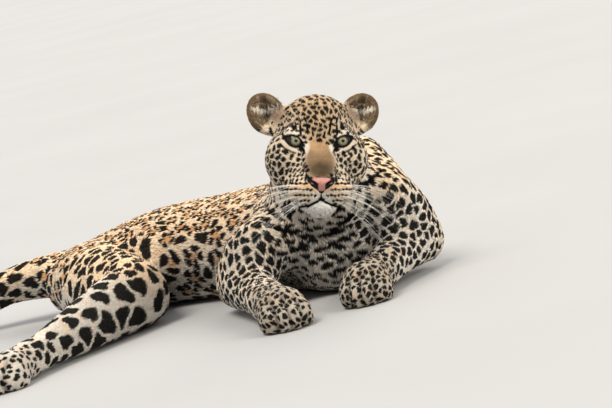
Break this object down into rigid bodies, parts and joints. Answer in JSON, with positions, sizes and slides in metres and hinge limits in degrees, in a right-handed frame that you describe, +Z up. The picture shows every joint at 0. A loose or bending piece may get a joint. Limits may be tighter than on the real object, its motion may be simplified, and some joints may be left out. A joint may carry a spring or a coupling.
{
  "type": "leopard",
  "caption": "Life-size still model of a leopard lying on its chest with raised head, forepaws in front, one hind leg stretched forward and the tail curled on the floor.",
  "frame": {"origin": "middle of the bounding box on the floor plane, under the belly", "axes": "+Z up; the face looks along -Y; the animal's left side is towards +X; the rump and tail lie towards -X and +Y"},
  "size_m": [1.1086, 1.106, 0.3578],
  "materials": {
    "coat_gold": "short golden fur with black rosettes",
    "coat_pale": "short cream fur with solid black spots",
    "nose": "moist pebbled pink skin with black edges",
    "eye": "wet grey-green iris with a round black pupil"
  },
  "bodies": {
    "root": {"abdomen": "coat_gold", "chest": "coat_pale", "ear_left": "coat_gold", "ear_right": "coat_gold", "eye_left": "eye", "eye_right": "eye", "forearm_left": "coat_pale", "forearm_right": "coat_pale", "forepaw_left": "coat_pale", "forepaw_right": "coat_pale", "head": "coat_gold", "hindfoot_left": "coat_pale", "hindfoot_right": "coat_pale", "hindpaw_left": "coat_pale", "hindpaw_right": "coat_pale", "neck": "coat_gold", "nose": "nose", "rump": "coat_gold", "shank_left": "coat_pale", "shank_right": "coat_pale", "tail_1": "coat_gold", "tail_2": "coat_gold", "tail_3": "coat_gold", "tail_4": "coat_gold", "thigh_left": "coat_pale", "thigh_right": "coat_pale", "upper_arm_left": "coat_gold", "upper_arm_right": "coat_gold"}
  },
  "joints": []
}
